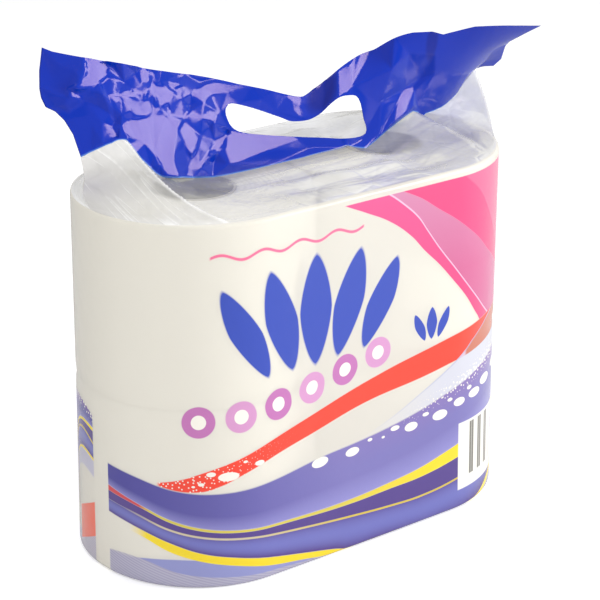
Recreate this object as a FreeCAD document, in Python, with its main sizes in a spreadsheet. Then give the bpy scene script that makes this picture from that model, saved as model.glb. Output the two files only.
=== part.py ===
# Toilet paper roll pack: rolls standing side by side in two layers, in one film bag with a carrying handle.
# Millimetres. +Z up, the front faces -Y, the origin is in the middle of the base.
import FreeCAD, Part
import os
from math import cos, exp, pi, radians, sin

import Sketcher
from FreeCAD import Placement, Rotation, Vector

# Driving dimensions
SIZES = {
    "roll_height": 97.0,
    "roll_diameter": 124.4,
    "side_gap": 0.4,          # between the two rolls of a layer
    "stack_gap": 0.1,         # between the layers
    "rim_round": 1.6,         # the paper's edge at a roll's end
    "tail_sheet": 0.4,        # the last sheet's free end, as a step on the winding
    "tail_turn": 130.0,       # degrees that the last sheet reaches round the roll
    "turn_pitch": 5.0,        # between the turn lines on a roll's end
    "turn_line": 0.8,         # width of a turn line
    "turn_relief": 0.3,       # depth of a turn line
    "core_bore": 40.0,
    "core_wall": 1.2,
    "core_gap": 0.25,         # between a core and its winding
    "film": 0.4,              # thickness of one film layer as modelled
    "film_gap": 0.4,          # between the film and a roll's side or end
    "base_round": 2.0,        # the film's turn at the bottom
    "base_slack": 2.0,        # how much looser the film is near the base
    "slack_height": 110.0,    # where that looseness ends
    "valley_sag": 1.5,        # how far the film dips between two rolls
    "rim_turn": 2.4,          # the film's turn over the rolls' top rim
    "handle_height": 55.0,
    "handle_slack": 6.0,      # half girth of the handle beyond the sleeve's
    "gather_height": 1.1,     # waves of the film over the rolls
    "gather_pitch": 36.0,
    "crease_height": 3.0,     # the long fold of the left shoulder
    "crumple": 2.2,           # folds of the handle
}

# The handle's columns from its left end to its right one: share of the girth; foot's place as a share of the
# handle's length; foot's distance behind the middle; foot's rise above the rolls; lean back and slant to the
# right in degrees; how much of the handle's height stands unfolded.
HANDLE_COLUMNS = [
    (0.00, -0.404, -4, 30, 21, -7, 1.00),
    (0.11, -0.342, -9, 36, 11, 0, 0.72),
    (0.18, -0.307, -11, 24, 15, 14, 0.82),
    (0.27, -0.265, -11, 12, 20, 25, 0.97),
    (0.36, -0.173, -8, 6, 18, 20, 0.90),
    (0.44, -0.082, -6, 4, 15, 16, 0.74),
    (0.52, 0.007, -7, 4, 17, 13, 0.58),
    (0.67, 0.132, -9, 3, 13, 11, 0.92),
    (0.73, 0.201, -4, 9, -2, 2, 0.90),
    (0.79, 0.271, 2, 11, -16, -6, 0.93),
    (0.85, 0.332, 5, 11, -25, -7, 0.99),
    (0.92, 0.394, 8, 19, -40, -6, 0.98),
    (1.00, 0.444, 10, 28, -55, 2, 0.94),
]
# The hand hole's outline: share of the girth and share of the handle's height
HOLE_OUTLINE = [
    (0.355, 0.60), (0.375, 0.72), (0.42, 0.73), (0.48, 0.67), (0.53, 0.60), (0.57, 0.62), (0.61, 0.66),
    (0.645, 0.60), (0.668, 0.42), (0.675, 0.24), (0.655, 0.13), (0.60, 0.15), (0.52, 0.34), (0.45, 0.42),
    (0.39, 0.45),
]
# Folds of the handle: place of the foot's end and the top's end as shares of the girth, width as a share, and
# height as a share of the crumple, towards the front if positive
HANDLE_FOLDS = [
    (0.10, 0.13, 0.030, 0.8),
    (0.17, 0.10, 0.020, -1.0),
    (0.25, 0.22, 0.022, -0.9),
    (0.31, 0.30, 0.030, 0.7),
    (0.52, 0.53, 0.018, -1.0),
    (0.70, 0.64, 0.016, 0.6),
    (0.77, 0.74, 0.018, -1.2),
    (0.80, 0.82, 0.025, 0.9),
    (0.90, 0.93, 0.030, -0.5),
]
# The left shoulder's long fold, from the rolls' rim to the handle's foot, as shares of the girth
CREASE_RIM, CREASE_FOOT, CREASE_WIDTH = 0.235, 0.115, 0.022

GIRTH_POINTS = 96       # points of one layer's row, from the left fold to the right one
SLEEVE_ROWS = 4
RIM_ROWS = 3
SHOULDER_ROWS = 5
HANDLE_ROWS = 6
LAYERS = ("lower", "upper")
SIDES = {"left": -1, "right": 1}
TAIL_ANGLES = {"lower_left": 200, "lower_right": 40, "upper_left": 250, "upper_right": 160}

doc = FreeCAD.newDocument("ToiletPaperPack")
sheet = doc.addObject("Spreadsheet::Sheet", "Sizes")
for row, (alias, size) in enumerate(SIZES.items(), start=1):
    sheet.set(f"A{row}", alias)
    sheet.set(f"B{row}", str(size))
    sheet.setAlias(f"B{row}", alias)
doc.recompute()


def value(alias):
    return float(sheet.get(alias))


def place_roll_piece(body, side, layer, angle):
    body.Placement = Placement(Vector(0, 0, 0), Rotation(Vector(0, 0, 1), angle))
    body.setExpression("Placement.Base.x", f"{SIDES[side]} * (Sizes.roll_diameter + Sizes.side_gap) / 2")
    level = LAYERS.index(layer)
    body.setExpression(
        "Placement.Base.z", f"Sizes.film + Sizes.stack_gap + {level} * (Sizes.roll_height + Sizes.stack_gap)"
    )


def base_plane(body):
    return next(plane for plane in body.Origin.OriginFeatures if plane.Role == "XY_Plane")


def new_sketch(body, name, height=None):
    sketch = body.newObject("Sketcher::SketchObject", name)
    sketch.AttachmentSupport = (base_plane(body), [""])
    sketch.MapMode = "FlatFace"
    if height is not None:
        sketch.setExpression("AttachmentOffset.Base.z", height)
    return sketch


def add_circle(sketch, radius, name):
    """A circle round the roll's axis, its radius given as an expression."""
    circle = sketch.addGeometry(Part.Circle(Vector(0, 0, 0), Vector(0, 0, 1), 10.0))
    sketch.addConstraint(Sketcher.Constraint("Coincident", circle, 3, -1, 1))
    number = sketch.addConstraint(Sketcher.Constraint("Radius", circle, 10.0))
    sketch.renameConstraint(number, name)
    sketch.setExpression(f"Constraints.{name}", radius)


def add_pad(body, name, sketch, length):
    pad = body.newObject("PartDesign::Pad", name)
    pad.Profile = sketch
    pad.setExpression("Length", length)
    return pad


def make_core(side, layer):
    body = doc.addObject("PartDesign::Body", f"core_{layer}_{side}")
    tube = new_sketch(body, f"core_section_{layer}_{side}")
    add_circle(tube, "Sizes.core_bore / 2", "bore")
    add_circle(tube, "Sizes.core_bore / 2 + Sizes.core_wall", "outside")
    add_pad(body, f"core_tube_{layer}_{side}", tube, "Sizes.roll_height")
    place_roll_piece(body, side, layer, 0)
    return body


def add_turn_lines(body, name, height, reversed_cut):
    """Rings cut into one end of the winding, where the turns of paper show."""
    lines = new_sketch(body, f"{name}_rings", height)
    inner = value("core_bore") / 2 + value("core_wall") + value("core_gap")
    width = value("roll_diameter") / 2 - value("tail_sheet") - value("rim_round") - inner
    for ring in range(1, int(width / value("turn_pitch")) + 1):
        edge = f"Sizes.core_bore / 2 + Sizes.core_wall + Sizes.core_gap + {ring} * Sizes.turn_pitch"
        add_circle(lines, f"{edge} - Sizes.turn_line", f"line_{ring}_inner")
        add_circle(lines, edge, f"line_{ring}_outer")
    cut = body.newObject("PartDesign::Pocket", name)
    cut.Profile = lines
    cut.Reversed = reversed_cut
    cut.setExpression("Length", "Sizes.turn_relief")


def add_tail(body, name):
    """The last sheet: part of a ring that stands out of the winding by the sheet's thickness."""
    inner = value("roll_diameter") / 2 - value("tail_sheet") * 1.5
    outer = value("roll_diameter") / 2
    turn = radians(value("tail_turn"))
    axis = Vector(0, 0, 1)
    sketch = new_sketch(body, f"{name}_section", "Sizes.rim_round")
    sketch.addGeometry(Part.ArcOfCircle(Part.Circle(Vector(0, 0, 0), axis, inner), 0, turn))
    sketch.addGeometry(Part.ArcOfCircle(Part.Circle(Vector(0, 0, 0), axis, outer), 0, turn))
    for angle in (0, turn):
        start = Vector(inner * cos(angle), inner * sin(angle), 0)
        sketch.addGeometry(Part.LineSegment(start, start * (outer / inner)))
    add_pad(body, name, sketch, "Sizes.roll_height - 2 * Sizes.rim_round")


def make_winding(side, layer):
    name = f"{layer}_{side}"
    body = doc.addObject("PartDesign::Body", f"roll_{name}")
    section = new_sketch(body, f"winding_section_{name}")
    add_circle(section, "Sizes.core_bore / 2 + Sizes.core_wall + Sizes.core_gap", "inside")
    add_circle(section, "Sizes.roll_diameter / 2 - Sizes.tail_sheet", "outside")
    winding = add_pad(body, f"winding_{name}", section, "Sizes.roll_height")
    doc.recompute()
    radius = value("roll_diameter") / 2 - value("tail_sheet")
    rims = [
        f"Edge{number}"
        for number, edge in enumerate(winding.Shape.Edges, start=1)
        if isinstance(edge.Curve, Part.Circle) and abs(edge.Curve.Radius - radius) < 1e-6
    ]
    fillet = body.newObject("PartDesign::Fillet", f"rims_{name}")
    fillet.Base = (winding, rims)
    fillet.setExpression("Radius", "Sizes.rim_round")
    add_turn_lines(body, f"top_turns_{name}", "Sizes.roll_height", False)
    add_turn_lines(body, f"base_turns_{name}", None, True)
    add_tail(body, f"tail_{name}")
    place_roll_piece(body, side, layer, TAIL_ANGLES[name])
    return body


class FilmBag:
    """The bag as rows of points, from the base to the handle's top, for its front and its back layer.

    A row runs from the left fold to the right one. A point's girth share says how far along it lies. Inset 0
    is the film's outside, and an inset of the film's thickness is its inside.
    """

    def __init__(self):
        self.film = value("film")
        self.pitch = value("roll_diameter") + value("side_gap")
        self.radius = value("roll_diameter") / 2 + value("film_gap") + self.film
        rolls = len(LAYERS) * (value("roll_height") + value("stack_gap"))
        self.rolls_top = self.film + rolls
        self.top = self.rolls_top + value("film_gap") + self.film
        self.half_girth = pi * self.radius + self.pitch
        self.length = self.half_girth + value("handle_slack")
        shares = [column[0] for column in HANDLE_COLUMNS]
        self.foot = self.curve([self.column_foot(column) for column in HANDLE_COLUMNS], shares)
        self.crest = self.curve([self.column_top(column) for column in HANDLE_COLUMNS], shares)

    @staticmethod
    def curve(points, shares=None):
        line = Part.BSplineCurve()
        if shares is None:
            shares = [number / (len(points) - 1) for number in range(len(points))]
        line.interpolate(Points=points, Parameters=shares)
        return line

    def column_foot(self, column):
        _, along, back, rise, _, _, _ = column
        return Vector(along * self.length, back, self.top + rise)

    def column_top(self, column):
        _, _, _, _, lean, slant, fullness = column
        up = Vector(sin(radians(slant)), sin(radians(lean)), cos(radians(lean)) * cos(radians(slant)))
        return self.column_foot(column) + up.normalize() * (fullness * value("handle_height"))

    def ring_point(self, share, front, inset, drawn_in=0.0):
        """A point of the stadium round two rolls, and how deep it lies in the valley between them."""
        radius = self.radius - inset
        run = share * (pi * radius + self.pitch)
        quarter = pi * radius / 2
        half = self.pitch / 2
        if run < quarter:
            angle = run / radius
            spot = (-half - radius * cos(angle), radius * sin(angle))
        elif run < quarter + self.pitch:
            spot = (run - quarter - half, radius)
        else:
            angle = (quarter * 2 + self.pitch - run) / radius
            spot = (half + radius * cos(angle), radius * sin(angle))
        x, depth = spot
        squeeze = 1 - drawn_in / radius
        reach = half if x > 0 else -half
        x = reach + (x - reach) * squeeze if abs(x) > half else x
        return Vector(x, front * max(depth * squeeze, self.fold_gap(inset)), 0)

    def fold_gap(self, inset):
        """How far a layer lies from the fold, where the two layers meet."""
        return self.film - 0.8 * inset

    def sleeve_point(self, share, front, height, inset):
        slack = max(0.0, 1 - height / value("slack_height")) ** 2 * value("base_slack") * sin(pi * share)
        spot = self.ring_point(share, front, inset, -slack)
        middle = max(0.0, cos(pi * spot.x / self.pitch)) if abs(spot.x) < self.pitch / 2 else 0.0
        up = max(0.0, sin(pi * height / self.top))
        spot.y -= front * value("valley_sag") * middle ** 2 * up
        spot.z = height
        return spot

    def rim_point(self, share, front, angle, inset):
        """The turn over the rolls' top rim, its angle from 0 at the sleeve to a quarter turn."""
        turn = value("rim_turn")
        spot = self.ring_point(share, front, inset, turn * (1 - cos(angle)))
        spot.z = self.top - inset - turn * (1 - sin(angle))
        return spot

    def base_point(self, share, front, angle, inset):
        """The turn at the base, its angle from a quarter turn at the flat to 0 at the sleeve."""
        turn = value("base_round")
        slack = value("base_slack") * sin(pi * share)
        spot = self.ring_point(share, front, inset, turn * (1 - cos(angle)) - slack)
        spot.z = inset + (turn - inset) * (1 - sin(angle))
        return spot

    def shoulder_point(self, share, front, climb, inset):
        rim = self.rim_point(share, front, pi / 2, inset)
        foot = self.foot.value(share) + Vector(0, front * self.fold_gap(inset), -1.5 * inset)
        foot.x += 1.5 * inset * cos(pi * share)
        waves = self.half_girth / value("gather_pitch")
        lift = value("gather_height") * (1 - cos(2 * pi * round(waves) * share)) / 2
        if front < 0:
            crease = CREASE_RIM + (CREASE_FOOT - CREASE_RIM) * climb
            lift += value("crease_height") * exp(-(((share - crease) / CREASE_WIDTH) ** 2))
        lift *= sin(pi * climb)
        return rim + (foot - rim) * climb + Vector(0, front * lift * 0.5, lift)

    def fold_depth(self, share, height):
        depth = 0.0
        for foot, top, width, size in HANDLE_FOLDS:
            away = abs(share - foot - (top - foot) * height) / width
            depth += size * max(0.0, 1 - away)
        return depth * value("crumple") * sin(pi * min(1.0, height * 0.8 + 0.1))

    def handle_point(self, share, front, height):
        foot = self.foot.value(share)
        spot = foot + (self.crest.value(share) - foot) * height
        fade = sin(pi * min(1.0, height * 1.5) / 2)
        return spot + Vector(0, front * self.film - fade * self.fold_depth(share, height), 0)

    def row(self, maker):
        """One row of the layer: a point for each girth share, the ends a film's thickness apart."""
        return [maker(number / GIRTH_POINTS) for number in range(GIRTH_POINTS + 1)]

    def layer_rows(self, front, inset):
        rows = []
        for number in range(RIM_ROWS + 1):
            angle = pi / 2 * (1 - number / RIM_ROWS)
            rows.append(self.row(lambda share: self.base_point(share, front, angle, inset)))
        low = value("base_round")
        high = self.top - inset - value("rim_turn")
        for number in range(1, SLEEVE_ROWS):
            height = low + (high - low) * number / SLEEVE_ROWS
            rows.append(self.row(lambda share: self.sleeve_point(share, front, height, inset)))
        for number in range(RIM_ROWS + 1):
            angle = pi / 2 * number / RIM_ROWS
            rows.append(self.row(lambda share: self.rim_point(share, front, angle, inset)))
        for number in range(1, SHOULDER_ROWS + 1):
            climb = number / SHOULDER_ROWS
            rows.append(self.row(lambda share: self.shoulder_point(share, front, climb, inset)))
        if inset == 0:
            for number in range(1, HANDLE_ROWS + 1):
                height = number / HANDLE_ROWS
                rows.append(self.row(lambda share: self.handle_point(share, front, height)))
        return rows

    def closed_solid(self, inset):
        front = [self.curve(points).toShape() for points in self.layer_rows(-1, inset)]
        back = [self.curve(points).toShape() for points in self.layer_rows(1, inset)]
        faces = []
        for layer in (front, back):
            faces += [Part.makeRuledSurface(low, high) for low, high in zip(layer, layer[1:])]
        for end in (0, 1):
            ties = [self.tie(one, other, end) for one, other in zip(front, back)]
            faces += [Part.makeRuledSurface(low, high) for low, high in zip(ties, ties[1:])]
        base = Part.Wire(Part.__sortEdges__([front[0], self.tie(front[0], back[0], 1), back[0],
                                             self.tie(front[0], back[0], 0)]))
        faces.append(Part.Face(base))
        faces.append(Part.makeRuledSurface(front[-1], back[-1]))
        hull = Part.makeCompound(faces)
        hull.sewShape(0.001)
        solid = Part.makeSolid(hull.Shells[0])
        if solid.Volume < 0:
            solid.reverse()
        return solid

    @staticmethod
    def tie(one, other, end):
        return Part.makeLine(one.Vertexes[-end].Point, other.Vertexes[-end].Point)

    def hole_cutter(self):
        """A prism through both layers of the handle, in the shape of the hand hole."""
        reach = 3 * value("handle_height")
        outline = []
        for share, height in HOLE_OUTLINE:
            spot = self.handle_point(share, 0, height)
            outline.append(Vector(spot.x, -reach, spot.z))
        rim = Part.BSplineCurve()
        rim.interpolate(Points=outline, PeriodicFlag=True)
        return Part.Face(Part.Wire(rim.toShape())).extrude(Vector(0, 2 * reach, 0))

    def shape(self):
        bag = self.closed_solid(0.0).cut(self.closed_solid(self.film))
        return bag.cut(self.hole_cutter())


def make_bag():
    feature = doc.addObject("Part::Feature", "film_bag")
    feature.Shape = FilmBag().shape()
    feature.Placement = Placement(Vector(0, 0, 0), Rotation())
    return feature


pieces = [make_bag()]
for layer_name in LAYERS:
    for side_name in SIDES:
        pieces.append(make_winding(side_name, layer_name))
        pieces.append(make_core(side_name, layer_name))
doc.recompute()

for item in doc.Objects:
    if "Invalid" in item.State or "Error" in item.State:
        raise RuntimeError(f"{item.Name} is {item.State}")
os.makedirs("parts", exist_ok=True)
for piece in pieces:
    if piece.Shape.isNull() or not piece.Shape.isValid():
        raise RuntimeError(f"{piece.Label} has no valid shape")
for piece in pieces:
    piece.Shape.exportStep(f"parts/{piece.Label}.step")
    box = piece.Shape.BoundBox
    print(f"{piece.Label}: {len(piece.Shape.Solids)} solid, {piece.Shape.Volume / 1000:.1f} cm3, "
          f"x {box.XMin:.1f} to {box.XMax:.1f}, y {box.YMin:.1f} to {box.YMax:.1f}, z {box.ZMin:.1f} to {box.ZMax:.1f}")
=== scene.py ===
# %% [markdown]
# # A pack of toilet paper rolls
# The pack is a tube of printed film round soft paper rolls. Its closed base and its sleeve are drawn
# tight by the rolls, its clear shoulders lie loose over their tops, and its flattened top is a blue
# carrying handle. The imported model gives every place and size, and this script gives the looks: film,
# print, folds, paper and board.

# %% Load the frame
from math import cos, pi, radians, sin

import bmesh
import bpy
import numpy as np
from mathutils import Matrix, Vector
from mathutils.geometry import delaunay_2d_cdt


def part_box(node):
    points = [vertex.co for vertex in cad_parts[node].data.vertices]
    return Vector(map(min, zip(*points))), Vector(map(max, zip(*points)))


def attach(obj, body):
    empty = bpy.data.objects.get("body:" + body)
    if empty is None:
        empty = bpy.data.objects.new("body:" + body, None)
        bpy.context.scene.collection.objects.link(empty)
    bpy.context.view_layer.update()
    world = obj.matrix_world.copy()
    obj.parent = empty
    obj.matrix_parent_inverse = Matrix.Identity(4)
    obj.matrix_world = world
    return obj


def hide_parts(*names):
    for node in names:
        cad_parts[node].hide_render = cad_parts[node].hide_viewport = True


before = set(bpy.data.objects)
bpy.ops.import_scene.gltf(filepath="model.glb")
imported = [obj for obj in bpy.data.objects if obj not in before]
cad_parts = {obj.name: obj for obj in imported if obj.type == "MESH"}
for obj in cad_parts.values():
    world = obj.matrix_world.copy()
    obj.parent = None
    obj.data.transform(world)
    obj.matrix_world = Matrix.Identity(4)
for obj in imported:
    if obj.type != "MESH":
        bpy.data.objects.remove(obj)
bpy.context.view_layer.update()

MM = 0.001
bpy.context.scene.view_settings.view_transform = "Standard"


def add_object(name, data):
    """A new object in the scene, at the origin."""
    made = bpy.data.objects.new(name, data)
    bpy.context.scene.collection.objects.link(made)
    return made


print("nodes:", ", ".join(sorted(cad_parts)))

# %% [markdown]
# ## The camera
# The photograph was taken with a long lens from the front left and a little above. The camera's angles,
# distance and focal length were fitted to the outline of the pack's body, its two roll rims and its core
# holes. The small lens shift puts the pack where it lies in the photograph's frame.

# %% Set up the camera
PICTURE = 600
FOCAL_PIXELS = 2273.7
CAMERA_TURN, CAMERA_LIFT, CAMERA_ROLL = radians(-38.63), radians(20.64), 0.0055
CAMERA_AWAY = 1216.0 * MM
CAMERA_AIM = Vector((10.84, 0.0, 125.74)) * MM
AXIS_RIGHT, AXIS_UP = 6.72, 17.01   # where the lens axis meets the picture, in pixels from its middle

back = Vector((sin(CAMERA_TURN) * cos(CAMERA_LIFT), -cos(CAMERA_TURN) * cos(CAMERA_LIFT), sin(CAMERA_LIFT)))
right = (-back).cross(Vector((0, 0, 1))).normalized()
up = right.cross(-back)
rolled_right = right * cos(CAMERA_ROLL) + up * sin(CAMERA_ROLL)
rolled_up = up * cos(CAMERA_ROLL) - right * sin(CAMERA_ROLL)
camera = add_object("camera", bpy.data.cameras.new("camera"))
camera.matrix_world = Matrix.Translation(CAMERA_AIM + back * CAMERA_AWAY) @ Matrix(
    (rolled_right, rolled_up, back)).transposed().to_4x4()
camera.data.sensor_width = 36.0
camera.data.lens = FOCAL_PIXELS / PICTURE * camera.data.sensor_width
camera.data.shift_x = -AXIS_RIGHT / PICTURE
camera.data.shift_y = -AXIS_UP / PICTURE
bpy.context.scene.camera = camera
print("lens", round(camera.data.lens, 1), "mm")

# %% [markdown]
# ## Shader maths as Python
# A pattern on the film is arithmetic on a place: how far along the girth, how high. Writing it as Python
# needs a class that wraps one output socket, so that `+`, `-`, `*` and `/` add the Math nodes by
# themselves. Every other node comes from one method of the finish, which takes the node's type, its
# settings and its sockets' values.

# %% The socket class
class Value:
    """One number that changes over a surface, as the output socket of a node."""

    def __init__(self, tree, socket):
        self.tree, self.socket = tree, socket

    def math(self, operation, *others, clamp=False):
        node = self.tree.nodes.new("ShaderNodeMath")
        node.operation, node.use_clamp = operation, clamp
        for place, item in enumerate((self, *others)):
            if isinstance(item, Value):
                self.tree.links.new(item.socket, node.inputs[place])
            else:
                node.inputs[place].default_value = item
        return Value(self.tree, node.outputs[0])

    def __add__(self, other):
        return self.math("ADD", other)

    __radd__ = __add__

    def __mul__(self, other):
        return self.math("MULTIPLY", other)

    __rmul__ = __mul__

    def __sub__(self, other):
        return self.math("SUBTRACT", other)

    def __rsub__(self, other):
        return (self * -1.0) + other

    def __truediv__(self, other):
        return self.math("DIVIDE", other)

    def __pow__(self, other):
        return self.math("POWER", other)

    def __abs__(self):
        return self.math("ABSOLUTE")

    def clamp(self):
        return self.math("ADD", 0.0, clamp=True)

    def most(self, other):
        return self.math("MAXIMUM", other)

    def least(self, other):
        return self.math("MINIMUM", other)


# %% The finish class
class Finish:
    """A material made of nodes, with a Principled shader at its end."""

    def __init__(self, name, **settings):
        self.material = bpy.data.materials.new(name)
        self.material.use_nodes = True
        self.tree = self.material.node_tree
        self.shader = self.tree.nodes["Principled BSDF"]
        for socket, number in settings.items():
            self.shader.inputs[socket.replace("_", " ")].default_value = number

    def node(self, kind, settings=None, output=0, **sockets):
        made = self.tree.nodes.new(kind)
        for name, setting in (settings or {}).items():
            if name == "curve":
                self.set_curve(made.mapping, setting)
            else:
                setattr(made, name, setting)
        for name, item in sockets.items():
            place = int(name[1:]) if name[0] == "n" and name[1:].isdigit() else name.replace("_", " ")
            if isinstance(item, Value):
                self.tree.links.new(item.socket, made.inputs[place])
            else:
                made.inputs[place].default_value = item
        return Value(self.tree, made.outputs[output])

    @staticmethod
    def set_curve(mapping, points):
        mapping.extend = "HORIZONTAL"
        curve = mapping.curves[0]
        curve.points[0].location, curve.points[1].location = points[0], points[-1]
        for point in points[1:-1]:
            curve.points.new(*point)
        mapping.update()

    def mix(self, factor, under, over):
        """The colour under, covered by the colour over where the factor is 1."""
        return self.node("ShaderNodeMix", {"data_type": "RGBA"}, output=2, n0=factor, n6=under, n7=over)

    def place(self):
        """The place on the object, in metres."""
        return self.node("ShaderNodeTexCoord", output=3)

    def noise(self, scale, detail=2.0, roughness=0.5, vector=None):
        return self.node("ShaderNodeTexNoise", Vector=vector or self.place(), Scale=scale, Detail=detail,
                         Roughness=roughness)

    def cells(self, scale, feature="F1"):
        return self.node("ShaderNodeTexVoronoi", {"feature": feature}, Vector=self.place(), Scale=scale)

    def map_parts(self, name):
        """The two numbers of a mesh's map, in millimetres."""
        split = self.node("ShaderNodeSeparateXYZ", Vector=self.node("ShaderNodeUVMap", {"uv_map": name}))
        parts = split.socket.node.outputs
        return Value(self.tree, parts[0]) * 1000.0, Value(self.tree, parts[1]) * 1000.0

    def bump(self, height, distance, strength=1.0):
        bumped = self.node("ShaderNodeBump", Strength=strength, Distance=distance, Height=height)
        self.link("Normal", bumped)

    def link(self, socket, value):
        self.tree.links.new(value.socket, self.shader.inputs[socket])


def colour(red, green, blue):
    """A colour as seen in a picture, 0 to 255, as the linear colour that a socket holds."""
    parts = []
    for part in (red, green, blue):
        part /= 255
        parts.append(part / 12.92 if part <= 0.04045 else ((part + 0.055) / 1.055) ** 2.4)
    return (*parts, 1.0)


print("blue film:", [round(part, 3) for part in colour(30, 60, 190)])

# %% [markdown]
# ## Light
# The photograph is a studio picture on white: one large soft lamp at the front right and high up, a
# weaker one at the left, and a white surface below that fills the shade. Glossy film shows its lamps as
# pale patches, so the lamps are few, large and near, and their sizes decide how large the patches on the
# folds are.

# %% Lamps
def soft_lamp(name, towards, away, size, watts):
    """A square lamp that looks at the pack from a direction."""
    lamp = bpy.data.lights.new(name, "AREA")
    lamp.shape, lamp.size, lamp.energy = "SQUARE", size, watts
    holder = add_object(name, lamp)
    direction = Vector(towards).normalized()
    holder.location = LAMP_AIM + direction * away
    holder.rotation_euler = direction.to_track_quat("Z", "Y").to_euler()
    return holder


LAMP_AIM = Vector((0.0, 0.0, 0.12))    # the middle of the pack
soft_lamp("key lamp", (0.711, -0.595, 0.375), 1.5, 0.62, 15.2)
soft_lamp("left lamp", (-0.80, -0.75, 0.75), 1.6, 0.7, 9.0).visible_glossy = False
soft_lamp("top lamp", (-0.1, 0.35, 1.0), 1.5, 0.8, 4.2)

world = bpy.data.worlds.new("studio")
bpy.context.scene.world = world
world.use_nodes = True
studio = world.node_tree
sky = studio.nodes["Background"]
sky.inputs["Strength"].default_value = 0.48
path = studio.nodes.new("ShaderNodeLightPath")
camera_ray, glossy_ray, transmission_ray = (
    Value(studio, path.outputs[f"Is {kind} Ray"]) for kind in ("Camera", "Glossy", "Transmission"))
plain = studio.nodes.new("ShaderNodeBackground")
for shade in (sky, plain):
    shade.inputs["Color"].default_value = (1.0, 1.0, 1.0, 1.0)
either = studio.nodes.new("ShaderNodeMixShader")
for source, target in (
    (camera_ray.most(glossy_ray.most(transmission_ray)).socket, either.inputs["Fac"]),
    (sky.outputs[0], either.inputs[1]),
    (plain.outputs[0], either.inputs[2]),
    (either.outputs[0], studio.nodes["World Output"].inputs["Surface"]),
):
    studio.links.new(source, target)

# %% [markdown]
# ## The floor
# The pack stands on a white sweep. The floor is lit like anything else, and for the camera alone it gets
# a little more white, so that it melts into the background and still keeps a soft shadow where the pack
# stands.

# %% Floor
floor_mesh = bpy.data.meshes.new("floor")
FLOOR = 6.0
floor_mesh.from_pydata(
    [(-FLOOR, -FLOOR, 0), (FLOOR, -FLOOR, 0), (FLOOR, FLOOR, 0), (-FLOOR, FLOOR, 0)], [], [(0, 1, 2, 3)])
floor = add_object("floor", floor_mesh)
floor.location.z = -0.2 * MM
white = Finish("white sweep", Base_Color=(0.9, 0.9, 0.9, 1.0), Roughness=0.9, Emission_Strength=0.35)
seen = white.node("ShaderNodeLightPath")
white.link("Emission Color", white.mix(seen, (0.0, 0.0, 0.0, 1.0), (1.0, 1.0, 1.0, 1.0)))
floor_mesh.materials.append(white.material)
print("floor", 2 * FLOOR, "m wide")

# %% [markdown]
# ## The sizes that the folds follow
# The rolls' boxes give the pack's height, the rolls' radius and how far apart they stand. The film lies a
# little outside them. The girth of the film tube is the round ends and the two straight sides together.

# %% Read the sizes
rolls_low, rolls_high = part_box("roll_upper_left")
other_low, other_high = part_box("roll_upper_right")
bag_low, bag_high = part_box("film_bag")
ROLL_TOP = rolls_high[2] / MM
ROLL_RADIUS = (rolls_high[1] - rolls_low[1]) / 2 / MM
ROLL_HEIGHT = (rolls_high[2] - rolls_low[2]) / MM
PITCH = (other_low[0] + other_high[0] - rolls_low[0] - rolls_high[0]) / 2 / MM
FILM_RADIUS = ROLL_RADIUS + 0.7
FILM_TOP = ROLL_TOP + 0.6
HALF_GIRTH = pi * FILM_RADIUS + PITCH
HANDLE_LENGTH = HALF_GIRTH + 6.0
HANDLE_HEIGHT = 55.0
print(f"rolls {2 * ROLL_RADIUS:.1f} mm wide, {PITCH:.1f} mm apart; half girth {HALF_GIRTH:.0f} mm")
print(f"film bag {(bag_high[2] - bag_low[2]) / MM:.0f} mm high with its handle")

# %% [markdown]
# ## The handle as two curves
# The handle's foot and its top edge are two smooth curves in space, and the film between them is ruled
# from one to the other. Each column below gives the foot and how the film stands there: how far it leans
# back, how far it slants to the right, and how much of its height is left after folds. The right end
# leans far forward, and the middle has sunk, which is why the hand hole looks slumped.

# %% Curves of the handle
# Share of the girth; foot's place as a share of the handle's length; foot's distance behind the middle;
# its rise above the rolls; lean back and slant to the right in degrees; share of the height that stands
HANDLE_COLUMNS = [
    (0.00, -0.404, -4, 30, 21, -7, 1.00),
    (0.11, -0.342, -9, 36, 11, 0, 0.72),
    (0.18, -0.307, -11, 24, 15, 14, 0.82),
    (0.27, -0.265, -11, 12, 20, 25, 0.97),
    (0.36, -0.173, -8, 6, 18, 20, 0.90),
    (0.44, -0.082, -6, 4, 15, 16, 0.74),
    (0.52, 0.007, -7, 4, 17, 13, 0.58),
    (0.67, 0.132, -9, 3, 13, 11, 0.92),
    (0.73, 0.201, -4, 9, -2, 2, 0.90),
    (0.79, 0.271, 2, 11, -16, -6, 0.93),
    (0.85, 0.332, 5, 11, -25, -7, 0.99),
    (0.92, 0.394, 8, 19, -40, -6, 0.98),
    (1.00, 0.444, 10, 28, -55, 2, 0.94),
]


def column_ends(column):
    """The foot and the top of the film at one column, in millimetres."""
    _, along, behind, rise, lean, slant, standing = column
    foot = np.array([along * HANDLE_LENGTH, behind, FILM_TOP + rise])
    way = np.array([sin(radians(slant)), sin(radians(lean)), cos(radians(lean)) * cos(radians(slant))])
    return foot, foot + way / np.linalg.norm(way) * standing * HANDLE_HEIGHT


def smooth_curve(shares, points):
    """A function that follows the points smoothly, a cubic between each two of them."""
    shares, points = np.array(shares), np.array(points, float)
    slopes = np.gradient(points, shares, axis=0)

    def at(share):
        share = np.atleast_1d(share)
        first = np.clip(np.searchsorted(shares, share, side="right") - 1, 0, len(shares) - 2)
        span = (shares[first + 1] - shares[first])[:, None]
        part = ((share - shares[first])[:, None]) / span
        low, high = points[first], points[first + 1]
        start, end = slopes[first] * span, slopes[first + 1] * span
        return (low * (2 * part ** 3 - 3 * part ** 2 + 1) + start * (part ** 3 - 2 * part ** 2 + part)
                + high * (3 * part ** 2 - 2 * part ** 3) + end * (part ** 3 - part ** 2))

    return at


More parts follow.
